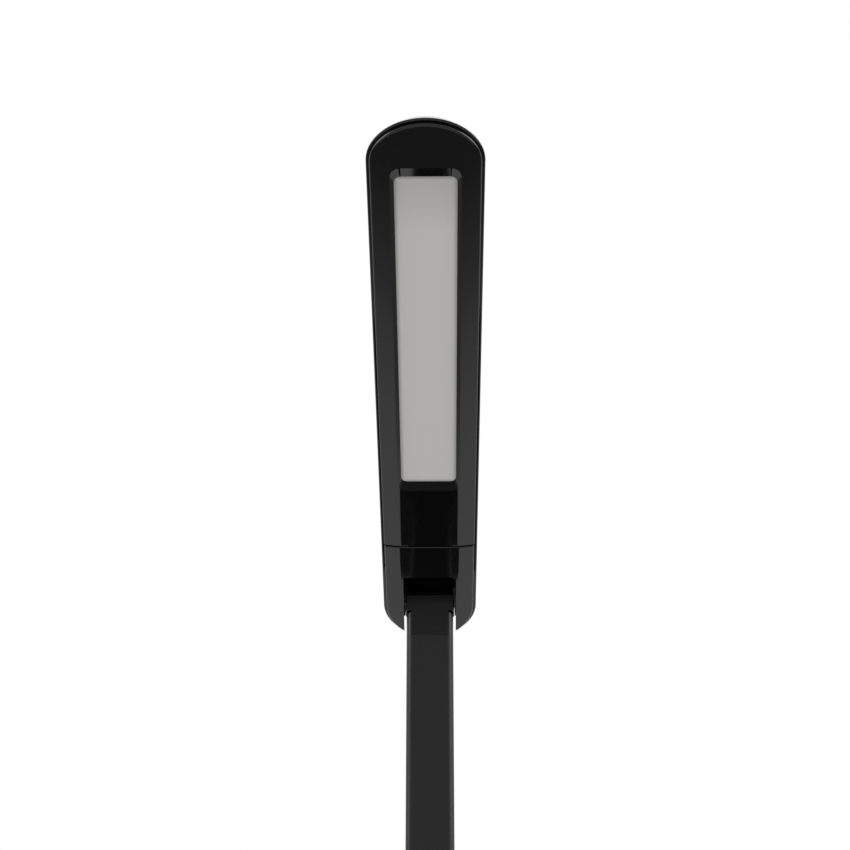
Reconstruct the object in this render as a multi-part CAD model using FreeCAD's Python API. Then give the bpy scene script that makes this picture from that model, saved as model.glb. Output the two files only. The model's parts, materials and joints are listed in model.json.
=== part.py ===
import FreeCAD, Part
import math
import os

V = FreeCAD.Vector

# Desk lamp: a weighted base, one flat tilting arm and a slim head with a light window.
# Millimetres and degrees. The desk is at z = 0, and the front of the lamp faces -Y.

# Rest pose
arm_lean_back = 5.0
head_lean_forward = 56.3

# Clearances shared by all pieces
seat_gap = 0.05
running_gap = 0.05
turning_gap = 0.25
fit_gap = 0.1
cover_gap = 0.3
overrun = 2.0

# Head: lengths along it start at its hinge axis, heights stand out of its face
hinge_to_lobe_end = 18.4
tip_half_width = 23.6
lobe_half_width = 22.9
tip_depth = 18.7
lobe_depth = 22.4
face_height = 7.0
parting_height = 4.6
back_depth = 8.6
back_inset = 6.0
band_half_width = 12.8
neck_band_half_width = 13.6
crease_radius = 6.0
crease_turn = 5.0
flank_radius = 100.0
shell_wall = 1.5
lid_wall = 1.6
bezel_inset = 1.6
neck_inset = 1.7
back_edge_radius = 5.0
floor_edge_radius = 2.0
rim_edge_radius = 0.6
bezel_edge_radius = 0.8
neck_edge_radius = 1.2
seam_from_hinge = 45.9
seam_gap = 0.6
seam_edge_radius = 0.6
slot_width = 25.4
slot_end_from_hinge = 25.4
slot_wall = 1.2

# Light window and what stands behind it
seam_to_window = 39.9
window_length = 158.3
window_to_tip = 24.9
window_width = 25.0
window_corner = 2.8
recess_depth = 1.6
bevel_width = 1.75
bevel_end = 4.5
frame_margin = 1.9
diffuser_margin = 2.0
diffuser_thickness = 1.5
spreader_thickness = 1.0
board_width = 22.0
board_end_margin = 2.0
board_thickness = 1.2
tray_flare = 0.7
chip_width = 2.8
chip_length = 3.5
chip_height = 0.8
chip_row_distance = 11.0
chip_end_margin = 12.0
chip_rows = 2
chip_columns = 16

# Head screws, set in from the tip, up from the seam and down from the seam
tip_screw_setback = 15.0
tip_screw_offset = 10.5
seam_screw_rise = 17.0
seam_screw_offset = 11.5
neck_screw_drop = 10.0
boss_radius = 3.7
boss_height = 4.1
post_radius = 2.75
shell_screw_radius = 1.25
shell_screw_head_radius = 2.5
shell_screw_head_height = 1.8
shell_screw_sink = 3.0
shell_screw_grip = 5.6

# Leads inside the lamp
lead_radius = 1.2
lead_offset = 6.0
lead_on_board = 5.0

# Head hinge
head_bolt_radius = 2.0
head_bolt_head_radius = 3.0
head_bolt_head_height = 2.2
head_thread_radius = 1.5
head_nut_across = 5.5
head_nut_height = 1.4
head_washer_radius = 3.0
head_washer_thickness = 0.3
thread_stand_out = 0.3

# Friction discs of both hinges
disc_radius = 5.8
disc_thickness = 0.5

# Arm
arm_reach = 270.0
arm_width = 22.8
arm_depth = 13.0
arm_corner = 3.3
tube_wall = 1.4
barrel_radius = 6.4
barrel_edge_radius = 0.5
knuckle_height = 3.3
knuckle_edge_radius = 0.6
shoulder_drop = 5.0
shoulder_cut_width = 3.2
shoulder_cut_height = 2.0
cap_height = 12.1
plug_length = 16.0
bush_wall = 1.0
pocket_width = 20.8
pocket_height = 2.8
pocket_depth = 0.6
cap_screw_radius = 1.5
cap_screw_head_radius = 2.8
cap_screw_length = 4.6
arm_lead_offset = 5.5

# Base
base_width = 112.0
base_depth = 180.0
base_corner = 40.0
cover_top = 18.0
cover_bottom = 1.0
cover_wall = 2.2
cover_edge_radius = 4.0
pad_thickness = 1.6
pad_inset = 3.0
plate_thickness = 2.0
ballast_side_margin = 8.0
ballast_board_gap = 9.0
ballast_foot_gap = 3.0
ballast_corner = 6.0
ballast_thickness = 8.0
base_screw_side_inset = 16.0
base_screw_end_inset = 28.0
base_post_radius = 4.0
plate_screw_radius = 1.5
plate_screw_head_radius = 2.9
plate_screw_grip = 7.0

# Base hinge, towards the back of the base
pivot_from_back = 58.0
pivot_height = 26.0
ear_thickness = 6.5
ear_half_depth = 8.5
ear_edge_radius = 0.8
foot_half_width = 25.0
foot_half_depth = 18.0
foot_thickness = 4.0
foot_screw_across = 21.0
foot_screw_along = 13.5
base_bolt_radius = 3.0
base_bolt_head_radius = 5.0
base_bolt_head_height = 2.6
base_nut_across = 8.6
base_nut_height = 1.8
base_washer_thickness = 0.4
ear_sink = 4.0
end_cap_radius = 6.6
end_cap_thickness = 1.0
end_cap_spigot = 0.9
end_cap_edge_radius = 0.4

# Switch and supply in the base
board_from_front = 30.0
board_to_post = 9.0
control_depth = 34.0
control_thickness = 1.6
control_corner = 2.0
standoff_height = 3.0
standoff_radius = 2.5
standoff_inset = 4.0
switch_width = 6.0
switch_height = 3.5
switch_floor = 0.6
plunger_radius = 1.75
plunger_height = 3.1
plunger_stand = 1.5
button_radius = 8.0
button_proud = 0.9
button_flange = 2.0
button_flange_thickness = 1.0
button_stem_radius = 2.2
button_edge_radius = 0.5
button_dish_depth = 0.5
button_dish_radius = 60.0
connector_width = 14.0
connector_depth = 6.0
connector_height = 5.0
coil_radius = 4.0
coil_height = 5.0
chip_block_width = 6.0
chip_block_depth = 5.0
chip_block_height = 1.6
jack_width = 9.0
jack_depth = 12.0
jack_height = 10.0
jack_bore_radius = 3.2
jack_bore_depth = 9.0
jack_pin_radius = 1.0
jack_pin_length = 7.5
inlet_radius = 4.2

# Places that follow from the sizes
upright = V(0, 0, 1)
across = V(1, 0, 0)
backward = V(0, 1, 0)
floor_level = shell_wall - back_depth
slot_half = slot_width / 2
barrel_half = slot_half - seat_gap - disc_thickness - turning_gap
window_level = face_height - recess_depth
window_from_hinge = seam_from_hinge + seam_to_window
window_middle = window_from_hinge + window_length / 2
hinge_to_tip = window_from_hinge + window_length + window_to_tip
diffuser_width = window_width + 2 * diffuser_margin
diffuser_length = window_length + 2 * diffuser_margin
diffuser_top = window_level - seat_gap
diffuser_bottom = diffuser_top - diffuser_thickness
spreader_bottom = floor_level + seat_gap
spreader_top = spreader_bottom + spreader_thickness
board_bottom = spreader_top + seat_gap
board_top = board_bottom + board_thickness
board_length = window_length - 2 * board_end_margin
boss_top = floor_level + boss_height
tip_screw_place = hinge_to_tip - tip_screw_setback
seam_screw_place = seam_from_hinge + seam_screw_rise
bezel_screws = [(side * tip_screw_offset, tip_screw_place) for side in (-1, 1)]
bezel_screws += [(side * seam_screw_offset, seam_screw_place) for side in (-1, 1)]
neck_screws = [(0, seam_from_hinge - neck_screw_drop)]
tube_end = shoulder_drop + cap_height
plate_bottom = pad_thickness + seat_gap
plate_top = plate_bottom + plate_thickness
inner_top = cover_top - cover_wall
ballast_top = plate_top + seat_gap + ballast_thickness
pivot_back = base_depth / 2 - pivot_from_back
board_forward = base_depth / 2 - board_from_front
base_screw_across = base_width / 2 - base_screw_side_inset
base_screw_along = base_depth / 2 - base_screw_end_inset
control_width = 2 * (base_screw_across - base_post_radius - board_to_post)
board_part_across = (control_width + switch_width) / 4
ballast_width = base_width - 2 * ballast_side_margin
ballast_front = control_depth / 2 - board_forward + ballast_board_gap
ballast_back = pivot_back - foot_half_depth - ballast_foot_gap
control_bottom = plate_top + standoff_height + seat_gap
control_top = control_bottom + control_thickness
switch_top = control_top + seat_gap + switch_height
plunger_top = switch_top + plunger_stand
lead_level = ballast_top + seat_gap + lead_radius
head_seat = slot_half + slot_wall + seat_gap
head_nut_seat = -head_seat - 2 * (head_washer_thickness + seat_gap)
base_seat = slot_half + ear_thickness - ear_sink + seat_gap
base_nut_seat = -base_seat - 2 * (base_washer_thickness + seat_gap)
pivot = V(0, pivot_back, pivot_height)
lean = math.radians(arm_lean_back)
head_axis = pivot + V(0, math.sin(lean), math.cos(lean)) * arm_reach
base_screw_places = [(x * base_screw_across, y * base_screw_along) for x in (-1, 1) for y in (-1, 1)]
foot_screw_places = [
    (x * foot_screw_across, pivot_back + y * foot_screw_along) for x in (-1, 1) for y in (-1, 1)
]


# Basic solids

def box(x, y, z):
    """Box between pairs of low and high values."""
    return Part.makeBox(x[1] - x[0], y[1] - y[0], z[1] - z[0], V(x[0], y[0], z[0]))


def rod(radius, start, end):
    """Round bar from one point to another."""
    return Part.makeCylinder(radius, (end - start).Length, start, end - start)


def cross_rod(radius, x):
    """Round bar along X through the hinge axis."""
    return rod(radius, V(x[0], 0, 0), V(x[1], 0, 0))


def stand(radius, place, z):
    """Upright round bar at a place on the plan."""
    return rod(radius, V(place[0], place[1], z[0]), V(place[0], place[1], z[1]))


def rounded_wire(width, depth, corner, level, middle):
    """Rectangle with round corners, flat at one level."""
    half_x = width / 2
    half_y = depth / 2
    corners = [(1, 1), (-1, 1), (-1, -1), (1, -1)]
    edges = []
    for index, (sx, sy) in enumerate(corners):
        centre = V(middle[0] + sx * (half_x - corner), middle[1] + sy * (half_y - corner), level)
        round_corner = Part.Circle(centre, upright, corner)
        start = index * math.pi / 2
        edges.append(Part.Arc(round_corner, start, start + math.pi / 2).toShape())
    wire = []
    for index, edge in enumerate(edges):
        following = edges[(index + 1) % len(edges)]
        wire.append(edge)
        wire.append(Part.LineSegment(edge.lastVertex().Point, following.firstVertex().Point).toShape())
    return Part.Wire(wire)


def rounded_slab(width, depth, corner, z, middle=(0, 0)):
    """Upright slab with round corners on the plan."""
    wire = rounded_wire(width, depth, corner, z[0], middle)
    return Part.Face(wire).extrude(upright * (z[1] - z[0]))


def hexagon(width_across, x):
    """Six-sided bar along X through the hinge axis."""
    radius = width_across / 2 / math.cos(math.radians(30))
    turns = [math.radians(60 * step) for step in range(7)]
    points = [V(x[0], radius * math.cos(turn), radius * math.sin(turn)) for turn in turns]
    return Part.Face(Part.makePolygon(points)).extrude(across * (x[1] - x[0]))


def sunk_screw(radius, head_radius, length, head_depth, tip, direction):
    """Countersunk screw that ends at its tip and points along a direction."""
    head_start = tip - direction * length
    head = Part.makeCone(head_radius, radius, head_depth, head_start, direction)
    return head.fuse(rod(radius, head_start + direction * head_depth, tip)).removeSplitter()


def edges_where(shape, test):
    """Edges whose bounding box passes a test."""
    return [edge for edge in shape.Edges if test(edge.BoundBox)]


def cut_all(shape, tools):
    """Shape with every tool cut from it."""
    return shape.cut(Part.makeCompound(tools))


# Head, drawn flat: X across it, Y towards its tip, Z out of its face

def head_outline(inset, level):
    """Plan of the head: two straight sides that run into elliptical ends."""
    tip_centre = V(0, hinge_to_tip - tip_depth, level)
    lobe_centre = V(0, lobe_depth - hinge_to_lobe_end, level)
    tip_x = tip_half_width - inset
    tip_y = tip_depth - inset
    lobe_x = lobe_half_width - inset
    lobe_y = lobe_depth - inset
    taper = (tip_x - lobe_x) / (tip_centre.y - lobe_centre.y)
    tip_turn = math.atan(taper * tip_y / tip_x)
    lobe_turn = math.atan(taper * lobe_y / lobe_x)
    tip = Part.Ellipse(tip_centre + across * tip_x, tip_centre + backward * tip_y, tip_centre)
    lobe = Part.Ellipse(lobe_centre + across * lobe_x, lobe_centre + backward * lobe_y, lobe_centre)
    tip_arc = Part.ArcOfEllipse(tip, -tip_turn, math.pi + tip_turn).toShape()
    lobe_arc = Part.ArcOfEllipse(lobe, math.pi + lobe_turn, 2 * math.pi - lobe_turn).toShape()
    left = Part.LineSegment(tip_arc.lastVertex().Point, lobe_arc.firstVertex().Point).toShape()
    right = Part.LineSegment(lobe_arc.lastVertex().Point, tip_arc.firstVertex().Point).toShape()
    return Part.Wire([tip_arc, left, lobe_arc, right])


def head_slab(inset, z):
    """The head's plan raised between two levels."""
    return Part.Face(head_outline(inset, z[0])).extrude(upright * (z[1] - z[0]))


def tapered_head(margin, z):
    """The head's body between two levels, narrower towards its back, inset by a margin."""
    slope = back_inset / (parting_height + back_depth)
    ends = [head_outline(margin + slope * (parting_height - level), level) for level in z]
    return Part.makeLoft(ends, True, True)


def arc_point(centre, radius, turn):
    """Point on an arc of the front's section, by its turn from upright."""
    return centre + V(math.sin(turn), 0, math.cos(turn)) * radius


def front_half(band, top):
    """Right half of the front's section: a soft crease beside the flat band, then a falling flank."""
    turn = math.radians(crease_turn)
    crease_centre = V(band, 0, top - crease_radius)
    crease_end = arc_point(crease_centre, crease_radius, turn)
    flank_centre = arc_point(crease_end, -flank_radius, turn)
    edge_turn = math.asin((tip_half_width + overrun - flank_centre.x) / flank_radius)
    return [
        [arc_point(crease_centre, crease_radius, turn * share) for share in (0, 1 / 2, 1)],
        [arc_point(flank_centre, flank_radius, turn + (edge_turn - turn) * share) for share in (0, 1 / 2, 1)],
    ]


def under_front(band, drop):
    """Everything below the front, lowered by a drop."""
    right = front_half(band, face_height - drop)
    left = [[V(-point.x, 0, point.z) for point in reversed(arc)] for arc in reversed(right)]
    arcs = left + right
    edges = [Part.Arc(*arc).toShape() for arc in arcs]
    edges.append(Part.LineSegment(left[-1][-1], right[0][0]).toShape())
    low_left = V(arcs[0][0].x, 0, -back_depth)
    low_right = V(arcs[-1][-1].x, 0, -back_depth)
    corners = [arcs[0][0], low_left, low_right, arcs[-1][-1]]
    edges += [Part.LineSegment(a, b).toShape() for a, b in zip(corners, corners[1:])]
    section = Part.Face(Part.Wire(Part.__sortEdges__(edges)))
    return section.translated(-backward * hinge_to_tip).extrude(backward * 3 * hinge_to_tip)


def front_slab(inset, bottom, band, drop):
    """The head's plan under its front, lowered by a drop."""
    return head_slab(inset, (bottom, face_height + overrun)).common(under_front(band, drop))


def along_head(start, end):
    """Everything of the head between two places along it."""
    reach = tip_half_width + overrun
    return box((-reach, reach), (start, end), (-back_depth - overrun, face_height + overrun))


def slot_block(margin, bottom):
    """The hinge slot, open to the face and to the lower end, grown by a margin."""
    half = slot_half + margin
    low_end = -hinge_to_lobe_end - overrun
    return box((-half, half), (low_end, slot_end_from_hinge + margin), (bottom, face_height + overrun))


def lid(inset, band, edge_radius, start, end, seam):
    """Part of the front, with its rim and the edge at the seam rounded."""
    shape = front_slab(inset, parting_height, band, 0)
    above = parting_height + seat_gap
    rim = edges_where(shape, lambda b: b.ZMin > above and b.XLength > seat_gap)
    shape = shape.makeFillet(edge_radius, rim)
    shape = shape.common(along_head(start, end))
    return shape.makeFillet(
        seam_edge_radius,
        edges_where(shape, lambda b: abs(b.YMin - seam) < seat_gap and b.YLength < seat_gap
                    and b.ZMax > above),
    )


def lid_posts(places):
    """Screw posts that hang from the front down to the bosses of the back shell."""
    bottom = boss_top + seat_gap
    return [stand(post_radius, place, (bottom, face_height - lid_wall)) for place in places]


def pilot_holes(places):
    """Holes for the screws' threads, from below the posts."""
    depth = boss_top + seat_gap + shell_screw_grip + fit_gap
    radius = shell_screw_radius + running_gap
    return [stand(radius, place, (boss_top - overrun, depth)) for place in places]


def window_wire(level):
    """Window outline at a level, wider towards the face."""
    rise = (level - window_level) / recess_depth
    width = window_width + 2 * bevel_width * rise
    length = window_length + 2 * bevel_end * rise
    return rounded_wire(width, length, window_corner + bevel_width * rise, level, (0, window_middle))


def face_bezel():
    start = seam_from_hinge + seam_gap / 2
    shape = lid(bezel_inset, band_half_width, bezel_edge_radius, start, hinge_to_tip + overrun, start)
    cavity = front_slab(bezel_inset + lid_wall, parting_height - overrun, band_half_width, lid_wall)
    shape = shape.cut(cavity.common(along_head(start + lid_wall, hinge_to_tip + overrun)))
    half = window_width / 2 + bevel_width + frame_margin
    reach = window_length / 2 + bevel_end + frame_margin
    frame = box(
        (-half, half), (window_middle - reach, window_middle + reach),
        (window_level, face_height - lid_wall / 2),
    )
    shape = shape.fuse([frame] + lid_posts(bezel_screws)).removeSplitter()
    window = Part.makeLoft([window_wire(window_level), window_wire(face_height + overrun)], True, True)
    seat = rounded_slab(
        diffuser_width + 2 * fit_gap, diffuser_length + 2 * fit_gap, window_corner,
        (parting_height - overrun, window_level), (0, window_middle),
    )
    return cut_all(shape, [window, seat] + pilot_holes(bezel_screws))


def neck_cover():
    end = seam_from_hinge - seam_gap / 2
    start = -hinge_to_lobe_end - overrun
    shape = lid(neck_inset, neck_band_half_width, neck_edge_radius, start, end, end)
    cavity = front_slab(neck_inset + lid_wall, parting_height - overrun, neck_band_half_width, lid_wall)
    cavity = cavity.common(along_head(start, end - lid_wall)).cut(slot_block(slot_wall, -back_depth))
    shape = shape.cut(cavity).cut(slot_block(0, -back_depth))
    shape = shape.fuse(lid_posts(neck_screws)).removeSplitter()
    return cut_all(shape, pilot_holes(neck_screws))


def head_back_shell():
    shape = tapered_head(0, (-back_depth, parting_height))
    shape = shape.makeFillet(back_edge_radius, edges_where(shape, lambda b: b.ZMax < floor_level))
    shape = shape.makeFillet(
        rim_edge_radius, edges_where(shape, lambda b: b.ZMin > parting_height - seat_gap)
    )
    cavity = tapered_head(shell_wall, (floor_level, parting_height + overrun))
    cavity = cavity.makeFillet(
        floor_edge_radius, edges_where(cavity, lambda b: b.ZMax < floor_level + seat_gap)
    )
    shape = shape.cut(cavity.cut(slot_block(slot_wall, floor_level - overrun)))
    shape = shape.cut(slot_block(0, floor_level))
    places = bezel_screws + neck_screws
    shape = shape.fuse([stand(boss_radius, place, (floor_level, boss_top)) for place in places])
    shape = shape.removeSplitter()
    sink_top = shell_screw_sink - back_depth
    sinks = [
        stand(shell_screw_head_radius + fit_gap, place, (-back_depth - overrun, sink_top))
        for place in places
    ]
    holes = [
        stand(shell_screw_radius + running_gap, place, (-back_depth, boss_top + overrun)) for place in places
    ]
    reach = slot_half + slot_wall + overrun
    bolt_hole = cross_rod(head_bolt_radius + running_gap, (-reach, reach))
    return cut_all(shape, sinks + holes + [bolt_hole])


def diffuser():
    return rounded_slab(
        diffuser_width, diffuser_length, window_corner, (diffuser_bottom, diffuser_top), (0, window_middle)
    )


def heat_spreader():
    return rounded_slab(
        diffuser_width, diffuser_length, window_corner, (spreader_bottom, spreader_top), (0, window_middle)
    )


def led_board():
    half = board_width / 2
    reach = board_length / 2
    return box((-half, half), (window_middle - reach, window_middle + reach), (board_bottom, board_top))


def led_chips():
    bottom = board_top + seat_gap
    first = window_middle - board_length / 2 + chip_end_margin
    pitch = (board_length - 2 * chip_end_margin) / (chip_columns - 1)
    chips = []
    for row in range(chip_rows):
        middle_x = (row - (chip_rows - 1) / 2) * chip_row_distance
        for column in range(chip_columns):
            middle_y = first + column * pitch
            chips.append(box(
                (middle_x - chip_width / 2, middle_x + chip_width / 2),
                (middle_y - chip_length / 2, middle_y + chip_length / 2),
                (bottom, bottom + chip_height),
            ))
    return Part.makeCompound(chips)


def reflector_tray():
    bottom = spreader_top + seat_gap
    top = diffuser_bottom - seat_gap
    middle = (0, window_middle)
    shape = rounded_slab(diffuser_width, diffuser_length, window_corner, (bottom, top), middle)
    low = rounded_wire(
        board_width + 2 * cover_gap, board_length + 2 * cover_gap, cover_gap, bottom, middle
    )
    high = rounded_wire(
        window_width + 2 * tray_flare, window_length + 2 * tray_flare, window_corner, top, middle
    )
    notch_half = lead_radius + cover_gap
    notch = box(
        (lead_offset - notch_half, lead_offset + notch_half),
        (window_middle - diffuser_length / 2 - overrun, window_middle - board_length / 2 + overrun),
        (bottom, board_top + seat_gap + 2 * lead_radius + cover_gap),
    )
    return cut_all(shape, [Part.makeLoft([low, high], True, True), notch])


def head_lead():
    level = board_top + seat_gap + lead_radius
    start = slot_end_from_hinge + slot_wall + cover_gap
    end = window_middle - board_length / 2 + lead_on_board
    return rod(lead_radius, V(lead_offset, start, level), V(lead_offset, end, level))


def head_screws():
    seat = shell_screw_sink - back_depth - seat_gap
    end = boss_top + shell_screw_grip
    screws = []
    for place in bezel_screws + neck_screws:
        head = stand(shell_screw_head_radius, place, (seat - shell_screw_head_height, seat))
        screws.append(head.fuse(stand(shell_screw_radius, place, (seat, end))).removeSplitter())
    return Part.makeCompound(screws)


# Hinge pieces, drawn with the hinge axis along X through the origin

def friction_discs(bolt_radius):
    outer = slot_half - seat_gap
    disc = cross_rod(disc_radius, (outer - disc_thickness, outer))
    hole = cross_rod(bolt_radius + running_gap, (0, slot_width))
    return Part.makeCompound([disc.cut(hole), disc.cut(hole).rotated(V(), upright, 180)])


def bush(bolt_radius):
    outer = cross_rod(bolt_radius + running_gap + bush_wall, (-barrel_half, barrel_half))
    return outer.cut(cross_rod(bolt_radius + running_gap, (-slot_half, slot_half)))


def washer_pair(seat, radius, hole_radius, thickness):
    """Two spring washers on the bolt's nut side, one on the other."""
    washers = []
    for index in range(2):
        near = seat - index * (thickness + seat_gap)
        ring = cross_rod(radius, (near - thickness, near))
        washers.append(ring.cut(cross_rod(hole_radius, (near - overrun, near + overrun))))
    return Part.makeCompound(washers)


def head_hinge_bolt():
    shoulder_end = -head_seat + seat_gap
    end = head_nut_seat - head_nut_height - thread_stand_out
    shank = cross_rod(head_bolt_radius, (shoulder_end, head_seat))
    head = cross_rod(head_bolt_head_radius, (head_seat, head_seat + head_bolt_head_height))
    thread = cross_rod(head_thread_radius, (end, shoulder_end))
    return shank.fuse([head, thread]).removeSplitter()


def head_lock_nut():
    nut = hexagon(head_nut_across, (head_nut_seat - head_nut_height, head_nut_seat))
    return nut.cut(cross_rod(head_thread_radius + running_gap, (-tip_half_width, 0)))


def head_spring_washers():
    hole = head_thread_radius + running_gap
    return washer_pair(-head_seat, head_washer_radius, hole, head_washer_thickness)


def base_hinge_bolt():
    end = base_nut_seat - base_nut_height
    shank = cross_rod(base_bolt_radius, (end, base_seat))
    head = cross_rod(base_bolt_head_radius, (base_seat, base_seat + base_bolt_head_height))
    return shank.fuse(head).removeSplitter()


def base_lock_nut():
    nut = hexagon(base_nut_across, (base_nut_seat - base_nut_height, base_nut_seat))
    return nut.cut(cross_rod(base_bolt_radius + running_gap, (-base_width, 0)))


def base_spring_washers():
    hole = base_bolt_radius + running_gap
    return washer_pair(-base_seat, base_bolt_head_radius, hole, base_washer_thickness)


def hinge_end_caps():
    face = slot_half + ear_thickness
    cap = cross_rod(end_cap_radius, (face + seat_gap, face + seat_gap + end_cap_thickness))
    rim = edges_where(cap, lambda b: b.XMin > face + end_cap_thickness)
    cap = cap.makeFillet(end_cap_edge_radius, rim)
    spigot = cross_rod(base_bolt_head_radius, (face - end_cap_spigot, face + seat_gap))
    cap = cap.fuse(spigot).removeSplitter()
    return Part.makeCompound([cap, cap.rotated(V(), upright, 180)])


# Arm, drawn upright with the lower hinge axis at the origin

def arm_cap(bolt_radius, lead_side):
    """Cap with its hinge barrel at the origin and its plug pointing down."""
    barrel = cross_rod(barrel_radius, (-barrel_half, barrel_half))
    barrel = barrel.makeFillet(barrel_edge_radius, edges_where(barrel, lambda b: b.XLength < seat_gap))
    knuckle = box((-barrel_half, barrel_half), (-barrel_radius, 0), (-shoulder_drop, knuckle_height))
    knuckle = knuckle.makeFillet(
        knuckle_edge_radius,
        edges_where(knuckle, lambda b: b.YMax < seat_gap - barrel_radius and b.ZMax > 0),
    )
    body = rounded_slab(arm_width, arm_depth, arm_corner, (-tube_end, -shoulder_drop))
    corner_cuts = []
    for side in (-1, 1):
        edge = side * (arm_width / 2 + overrun)
        inner = side * (arm_width / 2 - shoulder_cut_width)
        slope = shoulder_cut_height / shoulder_cut_width
        outer_level = -shoulder_drop - shoulder_cut_height - overrun * slope
        points = [V(inner, -arm_depth, -shoulder_drop), V(edge, -arm_depth, -shoulder_drop),
                  V(edge, -arm_depth, outer_level), V(inner, -arm_depth, -shoulder_drop)]
        corner_cuts.append(Part.Face(Part.makePolygon(points)).extrude(backward * 2 * arm_depth))
    body = cut_all(body, corner_cuts)
    inside = tube_wall + fit_gap
    plug = rounded_slab(
        arm_width - 2 * inside, arm_depth - 2 * inside, arm_corner - tube_wall,
        (-tube_end - plug_length, -tube_end),
    )
    shape = barrel.fuse([knuckle, body, plug]).removeSplitter()
    bore_radius = bolt_radius + 2 * running_gap + bush_wall
    bore = cross_rod(bore_radius, (-slot_half, slot_half))
    channel = stand(
        lead_radius + cover_gap, (lead_side * arm_lead_offset, 0),
        (-tube_end - plug_length - overrun, -bore_radius - bush_wall),
    )
    pocket = box(
        (-pocket_width / 2, pocket_width / 2),
        (-barrel_radius - overrun, pocket_depth - barrel_radius),
        (-pocket_height / 2, pocket_height / 2),
    )
    screw_hole = rod(
        cap_screw_radius + running_gap,
        V(0, arm_depth, -tube_end - plug_length / 2),
        V(0, arm_depth / 2 - cap_screw_length - fit_gap, -tube_end - plug_length / 2),
    )
    return cut_all(shape, [bore, channel, pocket, screw_hole])


def turned_over(shape):
    """Shape turned upside down with its front kept to the front."""
    return shape.rotated(V(), backward, 180)


def arm_top_cap():
    return arm_cap(head_bolt_radius, 1).translated(upright * arm_reach)


def arm_bottom_cap():
    return turned_over(arm_cap(base_bolt_radius, -1))


def arm_tube():
    z = (tube_end + seat_gap, arm_reach - tube_end - seat_gap)
    inside_width = arm_width - 2 * tube_wall
    inside_depth = arm_depth - 2 * tube_wall
    shape = rounded_slab(arm_width, arm_depth, arm_corner, z)
    inside = rounded_slab(
        inside_width, inside_depth, arm_corner - tube_wall, (z[0] - overrun, z[1] + overrun)
    )
    seats = [cap_screw(level, fit_gap) for level in cap_screw_levels()]
    return cut_all(shape, [inside] + seats)


def cap_screw_levels():
    low = tube_end + plug_length / 2
    return [low, arm_reach - low]


def cap_screw(level, margin):
    """Countersunk screw at the back of the arm, grown by a margin for its seat."""
    tip = V(0, arm_depth / 2 - cap_screw_length, level)
    radius = cap_screw_radius + margin
    head_radius = cap_screw_head_radius + margin
    return sunk_screw(radius, head_radius, cap_screw_length, tube_wall, tip, -backward)


def cap_screws():
    return Part.makeCompound([cap_screw(level, 0) for level in cap_screw_levels()])


def arm_lead():
    start = tube_end - cap_height / 2
    ends = [V(arm_lead_offset, 0, start), V(arm_lead_offset, 0, arm_reach - start)]
    return rod(lead_radius, ends[1], ends[0])


# Base, drawn where it stands

def base_slab(inset, z):
    return rounded_slab(base_width - 2 * inset, base_depth - 2 * inset, base_corner - inset, z)


def ear_profile(margin, z):
    """Both ears of the fork as upright blocks, grown by a margin."""
    ears = []
    half = ear_half_depth + margin
    y = (pivot_back - half, pivot_back + half)
    for side in (-1, 1):
        inner = side * (slot_half - margin)
        outer = side * (slot_half + ear_thickness + margin)
        ears.append(box((min(inner, outer), max(inner, outer)), y, z))
    return ears


def base_cover():
    shape = base_slab(0, (cover_bottom, cover_top))
    shape = shape.makeFillet(cover_edge_radius, edges_where(shape, lambda b: b.ZMin > inner_top))
    shape = shape.cut(base_slab(cover_wall, (cover_bottom - overrun, inner_top)))
    posts = [
        stand(base_post_radius, place, (plate_top + seat_gap, inner_top)) for place in base_screw_places
    ]
    shape = shape.fuse(posts).removeSplitter()
    hole = plate_screw_radius + running_gap
    top = plate_top + plate_screw_grip + fit_gap
    holes = [stand(hole, place, (plate_top - overrun, top)) for place in base_screw_places]
    through = (inner_top - overrun, cover_top + overrun)
    button_hole = stand(button_radius + cover_gap, (0, -board_forward), through)
    back = base_depth / 2
    inlet_level = plate_top + seat_gap + jack_height / 2
    inlet_start = V(0, back - cover_wall - overrun, inlet_level)
    inlet = rod(inlet_radius, inlet_start, V(0, back + overrun, inlet_level))
    openings = ear_profile(cover_gap, through)
    return cut_all(shape, holes + openings + [button_hole, inlet])


def plate_screw(place, margin, grip):
    """Countersunk screw from under the base plate, grown by a margin for its hole."""
    tip = V(place[0], place[1], plate_top + grip)
    length = plate_thickness + grip
    return sunk_screw(
        plate_screw_radius + margin, plate_screw_head_radius + margin, length, plate_thickness, tip, upright
    )


def standoff_places():
    across_half = control_width / 2 - standoff_inset
    along_half = control_depth / 2 - standoff_inset
    return [(x * across_half, y * along_half - board_forward) for x in (-1, 1) for y in (-1, 1)]


def base_plate():
    shape = base_slab(cover_wall + fit_gap, (plate_bottom, plate_top))
    standoffs = [
        stand(standoff_radius, place, (plate_top, plate_top + standoff_height)) for place in standoff_places()
    ]
    shape = shape.fuse(standoffs).removeSplitter()
    seats = [plate_screw(place, running_gap, overrun) for place in base_screw_places + foot_screw_places]
    return cut_all(shape, seats)


def base_screws():
    return Part.makeCompound([plate_screw(place, 0, plate_screw_grip) for place in base_screw_places])


def fork_screws():
    grip = foot_thickness + seat_gap
    return Part.makeCompound([plate_screw(place, 0, grip) for place in foot_screw_places])


def anti_slip_pad():
    return base_slab(cover_wall + pad_inset, (0, pad_thickness))


def ballast_plate():
    return rounded_slab(
        ballast_width, ballast_back - ballast_front, ballast_corner, (plate_top + seat_gap, ballast_top),
        (0, (ballast_front + ballast_back) / 2),
    )


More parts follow.
